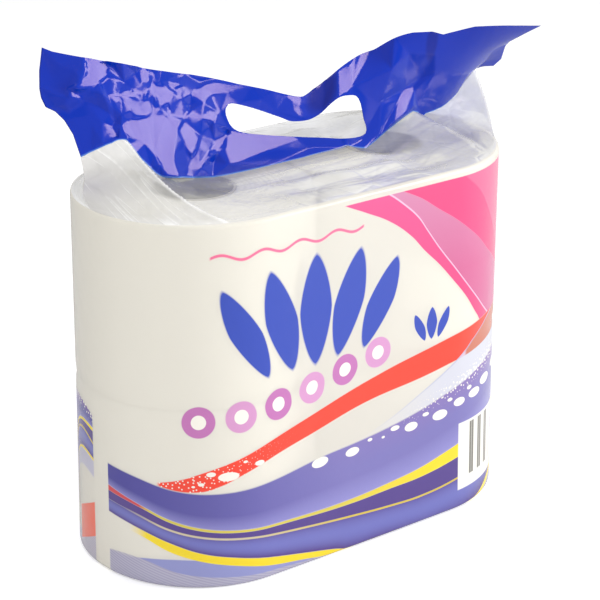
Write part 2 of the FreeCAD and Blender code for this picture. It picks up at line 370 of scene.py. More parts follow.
def trim(*pairs):
    """Two rows of numbers for np.interp: shares of the girth and what goes with them."""
    return np.array(pairs).T


# How far up the columns the blue film starts and ends, and how far the left and right ends stand out
FOOT_TRIM = trim(
    (0.0, -0.01), (0.023, -0.013), (0.057, -0.039), (0.082, -0.049), (0.109, -0.01), (0.128, 0.03),
    (0.178, -0.015), (0.262, -0.007), (0.306, 0.008), (0.36, -0.013), (0.44, -0.007), (0.52, 0.007),
    (0.57, 0.059), (0.626, 0.094), (0.67, -0.017), (0.731, -0.009), (0.761, 0.02), (0.777, 0.04),
    (0.792, -0.006), (0.803, -0.1), (0.812, -0.049), (0.844, -0.034), (0.894, -0.05), (0.953, 0.0),
    (1.0, 0.0))
CREST_TRIM = trim(
    (0.0, 1.0), (0.017, 0.976), (0.062, 0.951), (0.1, 0.955), (0.162, 0.984), (0.29, 1.01), (0.395, 0.99),
    (0.486, 1.008), (0.52, 1.0), (0.544, 1.078), (0.57, 1.083), (0.634, 1.018), (0.684, 0.98),
    (0.759, 1.006), (0.796, 0.992), (0.817, 0.941), (0.871, 1.007), (0.944, 0.987), (1.0, 0.985))
LEFT_BULGE = trim(
    (0.0, 0.0), (0.2, 0.0), (0.334, -2.0), (0.426, -5.2), (0.482, -9.5), (0.57, -10.2), (0.65, -9.4),
    (0.805, -6.2), (1.0, -0.6))
RIGHT_BULGE = trim(
    (0.0, -8.0), (0.15, -6.0), (0.3, -2.0), (0.5, -6.0), (0.62, -8.0), (0.84, -4.0), (1.0, 0.0))

column_shares = [column[0] for column in HANDLE_COLUMNS]
foot_at = smooth_curve(column_shares, [column_ends(column)[0] for column in HANDLE_COLUMNS])
crest_at = smooth_curve(column_shares, [column_ends(column)[1] for column in HANDLE_COLUMNS])


def handle_place(shares, heights):
    """Places on the handle before it is folded. Heights are one number or one for each share."""
    heights = np.broadcast_to(heights, np.shape(shares))
    row = foot_at(shares) * (1 - heights[:, None]) + crest_at(shares) * heights[:, None]
    row[:, 0] += np.interp(heights, *LEFT_BULGE) * np.clip(1 - shares / 0.07, 0, 1)
    row[:, 0] += np.interp(heights, *RIGHT_BULGE) * np.clip((shares - 0.9) / 0.1, 0, 1)
    return row


print("handle from x =", foot_at(0.0)[0, 0].round(0), "to", crest_at(1.0)[0, 0].round(0), "mm")

# %% [markdown]
# ## Folds of the handle
# Printed film doesn't bend like cloth. It stays flat between sharp creases, so crumpled film is a net of
# flat facets. Each point below is a corner of that net: how far along the girth, how high up the handle,
# and how far it stands towards the viewer. Triangles between the corners give the facets, and a little
# smoothing rounds the creases.

# %% The net of creases
# Share of the girth in thousandths, share of the height in hundredths, distance towards the front in
# tenths of a millimetre
CREASE_POINTS = [
    (0, 0, 0), (0, 33, 0), (0, 68, 0), (0, 100, 0), (18, 40, 0), (20, 24, 1), (20, 72, 0), (30, 0, 0),
    (30, 85, 17), (30, 100, 0), (33, 53, 35), (34, 63, 3), (36, 54, 45), (37, 62, 34), (44, 60, 17),
    (45, 54, 21), (45, 22, 0), (47, 61, 61), (48, 50, 16), (48, 56, 10), (50, 80, 25), (51, 49, 1),
    (52, 67, 48), (56, 66, 40), (60, 0, 17), (61, 98, 0), (63, 61, 29), (63, 80, 29), (64, 97, 6),
    (64, 88, 28), (65, 59, 19), (67, 79, 10), (68, 88, 4), (68, 21, -1), (72, 20, -6), (80, 67, -9),
    (80, 97, -24), (80, 0, -8), (80, 100, 0), (83, 2, -5), (83, 69, -14), (85, 67, -26), (87, 12, -18),
    (87, 52, 35), (90, 14, -29), (90, 30, -20), (91, 52, 0), (95, 76, -41), (95, 96, -51), (98, 98, 3),
    (98, 75, -49), (99, 86, -54), (100, 2, -22), (100, 22, -40), (100, 38, -8), (103, 86, -49),
    (104, 1, -7), (109, 43, -10), (110, 46, -11), (110, 90, -64), (111, 16, -13), (114, 55, -20),
    (115, 0, 0), (115, 16, -12), (115, 53, -22), (118, 60, -31), (120, 32, -14), (120, 55, -22),
    (120, 57, -25), (121, 52, -22), (130, 75, -65), (130, 100, -3), (132, 4, 10), (132, 9, 3),
    (132, 11, -4), (132, 30, -22), (135, 3, -2), (135, 28, -22), (145, 34, -23), (145, 47, -18),
    (146, 44, -14), (148, 70, -38), (150, 62, -24), (150, 68, -30), (152, 59, -25), (155, 2, 1),
    (155, 15, -5), (155, 90, -50), (156, 13, -5), (157, 0, 3), (158, 41, -14), (160, 39, -19),
    (162, 90, -36), (165, 101, 2), (166, 90, -31), (167, 99, -33), (169, 81, -26), (170, 62, -23),
    (172, 83, -25), (175, 71, -23), (176, 19, 0), (176, 21, -2), (177, 69, -16), (180, 20, -1),
    (180, 17, 2), (183, 48, -15), (184, 96, -24), (185, 46, -16), (185, 66, -23), (186, 80, -21),
    (187, 98, -30), (187, 78, -21), (188, 86, -20), (192, 86, -23), (200, 61, -19), (200, 55, -13),
    (200, 59, -14), (200, 73, -12), (200, 75, -14), (200, 92, -15), (201, 53, -12), (204, 55, -11),
    (205, 53, -10), (205, 73, -11), (209, 69, 1), (210, 86, -4), (210, 0, -6), (210, 71, -6),
    (210, 84, -9), (215, 88, 2), (219, 15, 17), (220, 17, 14), (220, 100, 12), (225, 63, 5), (235, 86, 9),
    (238, 91, 8), (240, 88, 7), (245, 58, 18), (245, 56, 16), (247, 69, 19), (248, 67, 10), (248, 9, 39),
    (250, 0, 4), (250, 11, 29), (250, 82, 19), (251, 84, 14), (255, 66, 22), (255, 63, 18), (259, 81, 26),
    (260, 59, 20), (260, 83, 18), (260, 56, 24), (269, 1, 39), (270, 3, 37), (270, 87, 21), (270, 89, 28),
    (277, 77, 29), (279, 25, 39), (280, 46, 32), (280, 100, 7), (281, 76, 28), (283, 25, 38),
    (284, 46, 28), (284, 12, 41), (285, 90, 17), (287, 56, 32), (288, 13, 39), (289, 58, 24),
    (293, 55, 22), (294, 37, 30), (297, 3, 45), (298, 38, 27), (300, 65, 20), (300, 1, 56), (300, 58, 26),
    (300, 62, 28), (300, 70, -3), (300, 82, 20), (300, 80, 16), (302, 28, 21), (304, 87, 13),
    (305, 29, 28), (305, 85, 15), (310, 50, 20), (311, 2, 21), (311, 11, 20), (313, 52, 24),
    (315, 10, 19), (318, 16, 17), (318, 22, 37), (318, 20, 17), (320, 94, -8), (322, 92, 6),
    (323, 30, 26), (325, 93, 8), (326, 38, 24), (327, 29, 22), (330, 39, 16), (330, 57, 28), (330, 0, 20),
    (330, 42, 14), (330, 60, 29), (330, 74, 31), (335, 12, 22), (337, 10, 27), (345, 69, 23),
    (345, 50, 4), (345, 67, 20), (345, 84, 13), (345, 82, 9), (349, 25, 12), (352, 20, 22), (353, 26, 7),
    (353, 56, 24), (353, 23, 28), (354, 54, 32), (355, 97, 2), (356, 100, -6), (357, 38, -2), (360, 0, 4),
    (360, 15, -23), (360, 36, -3), (360, 97, 3), (363, 66, 10), (366, 26, 9), (367, 67, 12), (368, 24, 6),
    (370, 87, 14), (373, 33, -1), (374, 86, 15), (376, 28, 10), (377, 32, 3), (380, 28, 14),
    (380, 43, -6), (381, 45, -43), (383, 49, -11), (385, 47, -12), (388, 10, 30), (391, 11, 32),
    (400, 0, 0), (400, 10, 33), (400, 78, 8), (420, 43, -6), (420, 100, 16), (440, 87, -2), (460, 0, -1),
    (460, 22, 10), (460, 41, -6), (460, 100, 4), (470, 75, -2), (487, 99, 0), (500, 37, -9), (500, 92, 5),
    (502, 80, 3), (510, 33, -8), (512, 80, 0), (513, 87, 0), (514, 100, -3), (516, 66, 5), (518, 62, 2),
    (520, 100, -2), (530, 0, -3), (530, 15, -18), (545, 105, -2), (560, 65, 10), (570, 85, 6),
    (570, 108, 0), (600, 0, 0), (600, 105, 38), (602, 72, 63), (611, 72, 58), (620, 8, -22),
    (622, 70, 51), (632, 100, 19), (636, 72, 39), (641, 100, 3), (657, 100, -12), (660, 0, -4),
    (660, 10, -27), (679, 100, -47), (690, 99, -58), (700, 0, 10), (700, 35, -13), (720, 65, 30),
    (720, 100, 0), (735, 3, 39), (737, 25, -22), (745, 22, -10), (750, 37, -55), (755, 5, 48),
    (755, 77, -1), (760, 100, 0), (764, 20, 3), (772, 36, -48), (775, 10, 36), (775, 30, -23),
    (785, 45, -53), (790, 5, 0), (800, 0, 0), (800, 100, 0), (808, 70, 0), (815, 45, 0), (818, 96, 0),
    (830, 0, 0), (830, 80, -1), (835, 40, 0), (870, 20, -1), (870, 60, 0), (870, 100, 0), (880, 0, 0),
    (890, 95, 0), (920, 45, 0), (930, 0, 0), (940, 86, -1), (950, 100, 0), (960, 25, 0), (960, 65, 0),
    (1000, 0, 0), (1000, 50, 0), (1000, 100, 0),
]


def fold_heights(points, across, above):
    """Flat facets between the points, sampled at places given by two arrays."""
    stretch = HANDLE_LENGTH / HANDLE_HEIGHT
    flat = [Vector((share / 1000 * stretch, height / 100)) for share, height, _ in points]
    placed, _, faces, origins, _, _ = delaunay_2d_cdt(flat, [], [], 0, 1e-6)
    level = np.array([points[origin[0]][2] / 10 for origin in origins])
    across = across * stretch
    depth = np.zeros(across.shape)
    for face in faces:
        a, b, c = (placed[corner] for corner in face)
        whole = (b.x - a.x) * (c.y - a.y) - (c.x - a.x) * (b.y - a.y)
        if abs(whole) < 1e-9:
            continue
        second = ((across - a.x) * (c.y - a.y) - (c.x - a.x) * (above - a.y)) / whole
        third = ((b.x - a.x) * (above - a.y) - (b.y - a.y) * (across - a.x)) / whole
        inside = (second >= -1e-6) & (third >= -1e-6) & (second + third <= 1 + 1e-6)
        facet = level[face[0]] * (1 - second - third) + level[face[1]] * second + level[face[2]] * third
        depth[inside] = facet[inside]
    return depth


def soften(grid, times):
    """Rounds the creases by averaging each point with its neighbours."""
    for _ in range(times):
        wide = np.pad(grid, 1, mode="edge")
        grid = (wide[:-2, 1:-1] + wide[2:, 1:-1] + wide[1:-1, :-2] + wide[1:-1, 2:] + 4 * grid) / 8
    return grid


print(len(CREASE_POINTS), "corners in the net of creases")

# %% [markdown]
# ## Shape of the sleeve and the shoulders
# Seen from above, the film is a stadium: two half circles and two straight runs, which dip a little into
# the valley between the rolls. Near the base it is looser. At the top it turns over the rolls' rims, and
# from there it runs straight up to the handle's foot, with gathers and one long fold at the left.

# %% Sleeve and shoulders
BASE_TURN, RIM_TURN = 2.4, 2.4
BASE_SLACK, SLACK_HEIGHT = 2.0, 110.0
VALLEY_SAG, GROOVE = 1.5, 0.5
RIGHT_SWELL, LEFT_SWELL = 6.5, 2.5    # how far the clear film stands out at the ends
SHOULDER_RUN, GATHERS = 40.0, 9    # the shoulders' height in the map, and their gathers
RIM_SHARE = trim((0.0, 0.1), (0.1, 0.25), (0.24, 1.0), (0.8, 1.0), (0.92, 0.4), (1.0, 0.1))
CREASE_RIM, CREASE_FOOT, CREASE_WIDTH, CREASE_HEIGHT = 0.235, 0.115, 0.016, 3.2


def stadium(shares, front, drawn_in):
    """Places round the rolls, drawn in towards them by some millimetres. Front is -1 or 1."""
    run = shares * HALF_GIRTH
    quarter = pi * FILM_RADIUS / 2
    angle = np.where(run < quarter, run, 2 * quarter + PITCH - run) / FILM_RADIUS
    straight = (run >= quarter) & (run <= quarter + PITCH)
    side = np.where(run < quarter + PITCH / 2, -1, 1)
    radius = FILM_RADIUS - drawn_in
    x = np.where(straight, run - quarter - PITCH / 2, side * (PITCH / 2 + radius * np.cos(angle)))
    depth = np.where(straight, radius, radius * np.sin(angle))
    return np.stack([x, front * np.maximum(depth, 0), np.zeros_like(x)], 1)


def sleeve_row(shares, front, height):
    """One level of the sleeve, as a row of places round the rolls."""
    slack = max(0.0, 1 - height / SLACK_HEIGHT) ** 2 * BASE_SLACK * np.sin(pi * shares)
    drawn = -slack
    if height < BASE_TURN:
        drawn = drawn + BASE_TURN * (1 - (1 - (1 - height / BASE_TURN) ** 2) ** 0.5)
    if height > FILM_TOP - RIM_TURN:
        turn = RIM_TURN * (1 - (1 - ((height - FILM_TOP + RIM_TURN) / RIM_TURN) ** 2) ** 0.5)
        drawn = drawn + turn * np.interp(shares, *RIM_SHARE)
    drawn = drawn + GROOVE * 2.0 ** -((height - ROLL_HEIGHT) / 2.5) ** 2
    row = stadium(shares, front, drawn)
    valley = np.where(abs(row[:, 0]) < PITCH / 2, np.cos(pi * row[:, 0] / PITCH), 0.0) ** 2
    row[:, 1] -= front * VALLEY_SAG * valley * max(0.0, sin(pi * height / FILM_TOP))
    row[:, 2] = height
    return row


def shoulder_row(shares, front, climb):
    """One level of the clear film between the rolls' rims and the handle's foot."""
    rim = sleeve_row(shares, front, FILM_TOP)
    foot = handle_place(shares, np.interp(shares, *FOOT_TRIM))
    foot[:, 1] += front * 0.25
    lift = 0.5 * (1 - np.cos(2 * pi * GATHERS * shares)) * sin(pi * climb)
    if front < 0:
        crease = CREASE_RIM + (CREASE_FOOT - CREASE_RIM) * climb
        away = np.abs(shares - crease) / CREASE_WIDTH
        lift = lift + CREASE_HEIGHT * np.maximum(0.0, 1 - away) ** 1.3 * sin(pi * climb) ** 0.5
    middle = np.exp(-((shares - 0.56) / 0.2) ** 2)
    ripple = 1.1 * np.sin(2 * pi * (3.1 * climb + 1.6 * shares)) * middle * sin(pi * climb)
    row = rim + (foot - rim) * climb
    row[:, 0] += RIGHT_SWELL * sin(pi * climb) ** 0.8 * np.clip((shares - 0.72) / 0.2, 0, 1)
    row[:, 0] -= LEFT_SWELL * sin(pi * min(1.0, climb / 0.6)) * np.clip(1 - shares / 0.14, 0, 1)
    row[:, 1] += front * lift * 0.5
    row[:, 2] += lift + ripple
    return row


print("film stands", round(FILM_RADIUS - ROLL_RADIUS, 1), "mm off the rolls")


# %% [markdown]
# ## Building the bag
# The real bag is one tube of film, in two layers that meet at the left and the right fold. Each layer is
# a grid of rows. The sleeve, the clear shoulders and the handle are three meshes that share their border
# rows, because each has its own finish. Each point knows its place on the flat film, in millimetres along
# the girth and up, and the print is drawn in that map.

# %% Mesh helper
def grid_faces(rows, columns, start, turned):
    """Quads of a grid of points, whose numbers start at start."""
    faces = []
    for row in range(rows - 1):
        for column in range(columns - 1):
            first = start + row * columns + column
            quad = (first, first + 1, first + columns + 1, first + columns)
            faces.append(quad[::-1] if turned else quad)
    return faces


def make_object(name, points, faces, maps, finishes):
    """A smooth mesh from points and a map in millimetres, with its finishes."""
    mesh = bpy.data.meshes.new(name)
    mesh.from_pydata((np.array(points) * MM).tolist(), [], faces)
    layer = mesh.uv_layers.new(name="print")
    corners = np.empty(len(mesh.loops), int)
    mesh.loops.foreach_get("vertex_index", corners)
    layer.data.foreach_set("uv", (np.array(maps)[corners] * MM).ravel())
    for finish in finishes:
        mesh.materials.append(finish.material)
    mesh.polygons.foreach_set("use_smooth", [True] * len(mesh.polygons))
    return add_object(name, mesh)


def dress(piece, node):
    """Hides the node that the piece is drawn in place of, and lets the piece ride with the pack."""
    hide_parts(node)
    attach(piece, "root")


def weld_folds(piece):
    """Joins the two layers along the left and right folds, and drops points that no face uses."""
    shape = bmesh.new()
    shape.from_mesh(piece.data)
    bmesh.ops.remove_doubles(shape, verts=shape.verts, dist=0.02 * MM)
    unused = [point for point in shape.verts if not point.link_faces]
    bmesh.ops.delete(shape, geom=unused, context="VERTS")
    shape.to_mesh(piece.data)
    shape.free()


# %% [markdown]
# ## The print
# The sleeve's print is a set of plain fields: pink at the upper right, an orange band that climbs to the
# right, violet sweeps with yellow lines below, and a few blue leaves in the middle. Each field lies below
# or above a line that is given by a few points, or in a disc or a leaf, so the whole print is maths on
# two numbers.

# %% Shapes for the print
def under(y, level, edge=0.5):
    """1 below the level and 0 above it, with a soft edge."""
    return ((level - y) / edge + 0.5).clamp()


def ease(x, start, end):
    """Rises from 0 at the start to 1 at the end."""
    return ((x - start) / (end - start)).clamp()


def between(x, start, full, fading, end):
    """Rises from 0 to 1, stays there and falls back to 0."""
    return ease(x, start, full) * (1 - ease(x, fading, end))


def near(distance, reach):
    """1 where the distance is 0, falling to 0 at the reach on both sides."""
    return (1 - abs(distance) / reach).clamp()


# %% Colours of the print
WHITE = colour(245, 241, 230)
PINK, ROSE, BLUSH = colour(250, 76, 138), colour(250, 60, 122), colour(226, 92, 138)
MAUVE, PALE, PEARL = colour(204, 96, 144), colour(206, 130, 168), colour(255, 205, 230)
ORANGE, RUST, CORAL = colour(242, 58, 32), colour(196, 112, 88), colour(240, 105, 78)
VIOLET, PLUM, PERIWINKLE = colour(64, 58, 148), colour(78, 56, 134), colour(126, 120, 184)
LIGHT_VIOLET, LILAC, WISP = colour(152, 150, 212), colour(143, 147, 200), colour(172, 170, 208)
MIST, LAVENDER = colour(202, 205, 223), colour(186, 182, 198)
YELLOW, STRAW, BLUE = colour(244, 216, 18), colour(214, 196, 76), colour(34, 66, 178)

# %% Lines of the print
# The panel's width along the girth, and a height above all its lines, in millimetres
REACH, HIGH = 323.0, 220.0
sleeve_finish = Finish("printed film", Roughness=0.26, Coat_Weight=0.3, Coat_Roughness=0.1)
girth, height = sleeve_finish.map_parts("print")
q = girth.math("FLOORED_MODULO", HALF_GIRTH)


def draw(*points):
    """A smooth line through the points: its height in millimetres for each place along the girth."""
    curve = [(place / REACH, level / HIGH) for place, level in points]
    return sleeve_finish.node("ShaderNodeFloatCurve", {"curve": curve}, Value=q / REACH) * HIGH


sweep_top = draw(
    (8, 62), (25, 59.5), (50, 54), (72, 52.5), (100, 54), (130, 57.5), (160, 59.5), (180, 62), (200, 66),
    (225, 73), (250, 80), (275, 84), (300, 89), (319, 83))
sweep_foot = draw(
    (8, 50), (30, 43.6), (45, 38), (60, 34), (80, 31), (110, 29), (150, 28), (180, 30), (200, 32.5),
    (215, 36), (230, 40), (260, 50), (281, 52.5), (300, 77), (319, 76.5))
gold_foot = draw(
    (8, 47), (30, 42.3), (45, 36.6), (60, 32.6), (80, 29.7), (110, 27.6), (150, 25.6), (180, 26.3),
    (200, 27), (226, 31), (260, 40), (281, 44.5), (300, 75.5), (319, 74.5))
ribbon_top = draw(
    (8, 42), (25, 39), (45, 32.4), (60, 29), (90, 25), (120, 21.5), (150, 18.5), (180, 16.3), (200, 15.8),
    (226, 18.5), (260, 27), (281, 34.5), (300, 72), (319, 67))
ribbon_foot = draw(
    (8, 35), (25, 31.5), (45, 25), (60, 20), (80, 15.5), (100, 11), (120, 7), (140, 3), (150, 0.5),
    (170, 0), (235, 0), (262, 9), (281, 21), (300, 61), (319, 59))
lemon_foot = draw(
    (20, 29), (30, 26.5), (45, 20), (60, 15.5), (80, 11), (100, 6.5), (120, 3.5), (135, 1), (150, 0),
    (240, 0), (262, 5), (281, 18), (300, 59.5), (319, 57.5))
mist_top = draw(
    (150, 58), (165, 62), (180, 67), (200, 76), (220, 86), (240, 98), (255, 106), (280, 112), (315, 96))
orange_top = draw(
    (37, 58), (50, 60.5), (62, 64.5), (80, 70), (100, 76.5), (130, 84), (162, 91.5), (200, 99),
    (230, 104.5), (262, 108), (300, 108))
orange_foot = draw(
    (37, 57), (60, 54), (72, 57), (82, 61), (100, 67), (130, 73.5), (162, 80), (200, 84.5), (225, 88.5),
    (250, 92), (300, 97))
pink_edge = draw(
    (120, 204), (146, 191), (160, 184.5), (175, 177), (190, 166), (200, 155.5), (210, 146), (220, 135),
    (230, 123.5), (240, 110.5), (250, 100), (300, 90))
veil_edge = draw(
    (150, 205), (174, 192), (185, 184), (195, 175), (201, 167), (210, 155), (220, 143), (230, 131),
    (240, 120), (250, 110), (270, 95))
rose_edge = draw(
    (160, 200), (193, 187), (210, 176), (220, 169.5), (230, 162), (240, 154), (250, 145), (262, 136),
    (290, 112))
fade_edge = draw(
    (200, 215), (227, 191), (240, 180), (250, 167), (262, 150), (280, 125))
haze_top = draw(
    (8, 13.5), (28, 14), (50, 8.5), (80, 5), (105, 3.5), (130, 2), (281, 10), (300, 12), (319, 20))
lilac_top = draw(
    (22, 13), (34, 15), (60, 16), (90, 12), (120, 5), (140, 1))
print("lines of the print drawn")

# %% Ways to lay ink
mix = sleeve_finish.mix


def over(level, edge=0.5):
    """1 above a line."""
    return 1 - under(height, level, edge)


def band(low, high, edge=0.5):
    """1 between two lines."""
    return under(height, high, edge) * over(low, edge)


def span(start, end):
    """1 between two places along the girth."""
    return between(q, start, start + 0.5, end, end + 0.5)


def lay(mask, ink, strength=1.0, covers=True):
    """Lays ink over the picture. Only ink that covers makes the film less clear."""
    global picture, cover
    mask = mask * strength
    picture = mix(mask, picture, ink)
    if covers:
        cover = cover.most(mask)


print("ink is laid on", sleeve_finish.material.name)

# %% Fields of the print
picture, cover = WHITE, q * 0.0
depth = ((sweep_top - height) / (sweep_top - sweep_foot).most(1.0)).clamp()
dark_left = 1 - ease(q, 20.0, 150.0) * 0.85
sweep_ink = mix(dark_left, PERIWINKLE, VIOLET)
sweep_ink = mix(ease(q, 284.0, 296.0) * 0.75, sweep_ink, VIOLET)
sweep_ink = mix(ease(depth, 0.62, 1.0) * 0.65, sweep_ink, LIGHT_VIOLET)
warm = ease(q, 120.0, 260.0) * (1 - ease(depth, 0.0, 0.45)) * 0.14
sweep_ink = mix(warm, sweep_ink, MAUVE)
ribbon_depth = ((ribbon_top - height) / (ribbon_top - ribbon_foot).most(1.0)).clamp()
ribbon_rim = (abs(ribbon_depth - 0.45) * 2.0) ** 2.0
ribbon_ink = mix(ribbon_rim, colour(108, 110, 184), PLUM)
gold_ink = mix(ease(q, 140.0, 205.0), STRAW, YELLOW)
gold_ink = mix(1 - ease(q, 28.0, 34.0), gold_ink, colour(205, 62, 72))

lay(band(0.0, lilac_top) * (1 - ease(q, 138.0, 142.0)), LILAC)
hatch = ((height + q * 0.3) * 4.2).math("SINE") * 0.5 + 0.5
lay(band(0.0, haze_top), mix(hatch, LAVENDER, colour(164, 160, 184)), 0.9)
flat_part = 1 - ease(q, 280.0, 280.5)
orange = band(orange_foot, orange_top) * flat_part
lay(orange * ease(q, 38.0, 40.0), ORANGE)
lay(band(sweep_top, mist_top) * ease(q, 152.0, 215.0) * flat_part, MIST, 0.8)
lay(orange * under(height, mist_top) * ease(q, 230.0, 232.0), RUST)
lay(band(mist_top - 0.8, mist_top) * ease(q, 165.0, 225.0) * flat_part, colour(165, 170, 208), 0.7)
lay(band(sweep_foot, sweep_top, 0.9), sweep_ink)
lay(band(ribbon_top, gold_foot, 0.4), PLUM)
lay(band(gold_foot, sweep_foot, 0.4), gold_ink)
lay(band(ribbon_foot, ribbon_top, 0.6), ribbon_ink)
thread_ink = mix(ease(q, 80.0, 150.0), colour(205, 192, 160), colour(214, 188, 70))
lay(band(ribbon_top - 0.6, ribbon_top + 0.5, 0.4) * ease(q, 18.0, 40.0), thread_ink)
lay(band(lemon_foot, ribbon_foot, 0.4) * ease(q, 22.0, 32.0), YELLOW)
lay(band(lemon_foot - 9.2, lemon_foot, 1.5) * ease(q, 284.0, 292.0), WISP, 0.7)
pink_zone = over(pink_edge) * flat_part * over(orange_top)
lay(pink_zone, mix(ease(height, 110.0, 190.0), ROSE, PINK))
lay(over(veil_edge, 1.0) * pink_zone, mix(ease(height, 140.0, 192.0), MAUVE, PALE))
lay(band(veil_edge - 0.5, veil_edge + 0.5) * pink_zone, PEARL, 0.8)
lay(over(rose_edge) * pink_zone, ROSE)
lay(over(fade_edge, 1.5) * pink_zone, BLUSH)
print("fields laid")

# %% Drops, leaves and rings
def oval(centre_x, centre_y, half_wide, half_high, slant=0.0, power=2.0):
    """1 inside an oval that leans to the right by the slant."""
    across = abs((q - centre_x) - (height - centre_y) * slant) / half_wide
    along = abs(height - centre_y) / half_high
    return ((across ** power + along ** power) * -9.0 + 9.5).clamp()


for place, level, wide, high in (
    (131, 55, 5.5, 2.8), (153, 54.5, 4.6, 2.4), (193, 58, 4.4, 2.5), (213, 59.5, 5.2, 2.8),
    (227, 63.5, 4.2, 2.4), (240, 65, 5.4, 2.6), (252, 69, 6.0, 3.0), (268, 73, 5.0, 2.6),
    (203, 62.5, 2.2, 1.1), (182, 60, 3.0, 1.4), (235, 69.5, 2.0, 1.2), (66, 63.5, 2.4, 1.3),
    (75, 61.5, 5.5, 2.4), (92, 66, 2.7, 1.4), (61, 58.2, 1.6, 0.9), (84, 68.3, 1.2, 0.7),
    (57, 57, 0.9, 0.6), (165, 58, 1.6, 0.9), (220, 66.5, 1.8, 1.0), (174, 57, 1.1, 0.7),
):
    lay(oval(place, level, wide, high), WHITE, covers=False)
for place, level, wide, high, slant in (
    (85, 136, 9.0, 25.0, -0.5), (106, 139, 10.0, 28.0, -0.25), (128, 140, 10.5, 30.0, 0.0),
    (150, 139, 10.0, 28.0, 0.25), (171, 134, 9.0, 23.0, 0.45),
    (198, 113, 3.2, 8.0, -0.42), (206, 114, 3.6, 9.0, 0.0), (214, 113, 3.2, 8.0, 0.42),
):
    lay(oval(place, level, wide, high, slant, 1.5), BLUE)
RING, RING_HOLE = 8.5, 8.5 * 0.45
RING_INKS = colour(192, 112, 178), colour(212, 150, 198)
for number, (place, level) in enumerate(((60, 92), (82, 93), (104, 95), (126, 98), (148, 102), (170, 106))):
    lay(oval(place, level, RING, RING), RING_INKS[number % 2])
    lay(oval(place, level, RING_HOLE, RING_HOLE), WHITE, covers=False)
drops = sleeve_finish.node("ShaderNodeTexVoronoi", {"feature": "F1", "voronoi_dimensions": "2D"},
                           Vector=sleeve_finish.node("ShaderNodeUVMap", {"uv_map": "print"}), Scale=420.0)
on_sweep = near(height - sweep_top - 1.0, 8.0) * ease(q, 160.0, 235.0)
on_orange = between(q, 37.0, 39.0, 60.0, 125.0)
on_orange = on_orange * band(orange_foot - 1.0, orange_top + 2.0) * over(sweep_top)
spray = ((on_sweep.most(on_orange * 0.52) * 0.42 - drops) * 9.0).clamp()
lay(spray, WHITE, covers=False)
print("drops, leaves and rings laid")

# %% Wave, patch and corner
WAVE_START, WAVE_END, WAVE_LENGTH, WAVE_LEVEL = 66, 158, 23, 178
wave = ((q - WAVE_START) * (2 * pi / WAVE_LENGTH)).math("SINE") * 1.6 + WAVE_LEVEL
wave_run = between(q, WAVE_START, WAVE_START + 1, WAVE_END, WAVE_END + 1)
lay(band(wave - 0.8, wave + 0.8) * wave_run, colour(240, 110, 150))
patch = span(226.5, 268.0) * band(11.0, 50.5)
BARS = 236.0
stripes = ((q - BARS) * 0.75).math("SINE") + ((q - BARS) * 2.3).math("SINE") * 0.8 - 0.1
bars = stripes.math("MULTIPLY", 4.0, clamp=True) * span(235.0, 261.0) * band(18.0, 49.0)
lay(patch, colour(242, 240, 232))
lay(bars * patch, colour(122, 120, 112), covers=False)
corner_level = height - (q - 319.0) * 0.48
corner = ease(q, 297.0, 297.5) * under(corner_level, 36.0) * (1 - under(corner_level, 16.5))
lay(corner, CORAL)

inked = span(8.0, HALF_GIRTH - 4.5) * under(height, FILM_TOP - 4.0)
sleeve_finish.link("Base Color", mix(inked, WHITE, picture))
sleeve_finish.link("Alpha", cover * inked * 0.28 + 0.7)
emboss = sleeve_finish.cells(210.0)
ripple = sleeve_finish.noise(24.0, 3.0, 0.55)
sleeve_finish.bump(emboss * 0.22 + ripple, 0.0007, 0.35)

bare_finish = Finish("bare film", Base_Color=WHITE, Roughness=0.3)
creased = bare_finish.noise(36.0, 4.0, 0.6)
bare_finish.link("Alpha", creased * 0.3 + 0.6)
bare_finish.bump(creased, 0.002, 0.6)
print("print done in", len(sleeve_finish.tree.nodes), "nodes")

# %% [markdown]
# ## Clear film and blue film
# The shoulders are clear: they show mostly by what they mirror, so their finish is a thin, half-metallic
# and mostly open surface. Where the film is folded over at the left it is hazier, and where it turns over
# the rolls' rims or meets the handle it is nearly white. Painted shade, painted glints and a painted
# lighter back layer are in its colour. The handle is solid blue ink under gloss, whose reflections look
# pinkish, with painted shade in two of its folds.

# %% Clear shoulders
clear_finish = Finish("clear film", Roughness=0.14, Metallic=0.2)
girth, climb = clear_finish.map_parts("print")
share, climb = girth / HALF_GIRTH, (climb - FILM_TOP) / SHOULDER_RUN
crease = climb * (CREASE_FOOT - CREASE_RIM) + CREASE_RIM
on_front = under(share, 1.0, 0.01)
left_of = ((crease - share) / 0.012 + 0.5).clamp() * on_front
on_crease = near(share - crease, 0.007) * on_front
haze = clear_finish.noise(34.0, 4.0, 0.6)
streak = clear_finish.noise(120.0, 3.0, 0.6)


def wrinkles(along, up, seed, detail):
    """Thin lines where a stretched noise crosses its middle."""
    place = clear_finish.node("ShaderNodeCombineXYZ", X=along, Y=up, Z=seed)
    middle = abs(clear_finish.noise(1.0, detail, 0.5, place) - 0.5)
    return (1 - middle * 16.0).clamp()


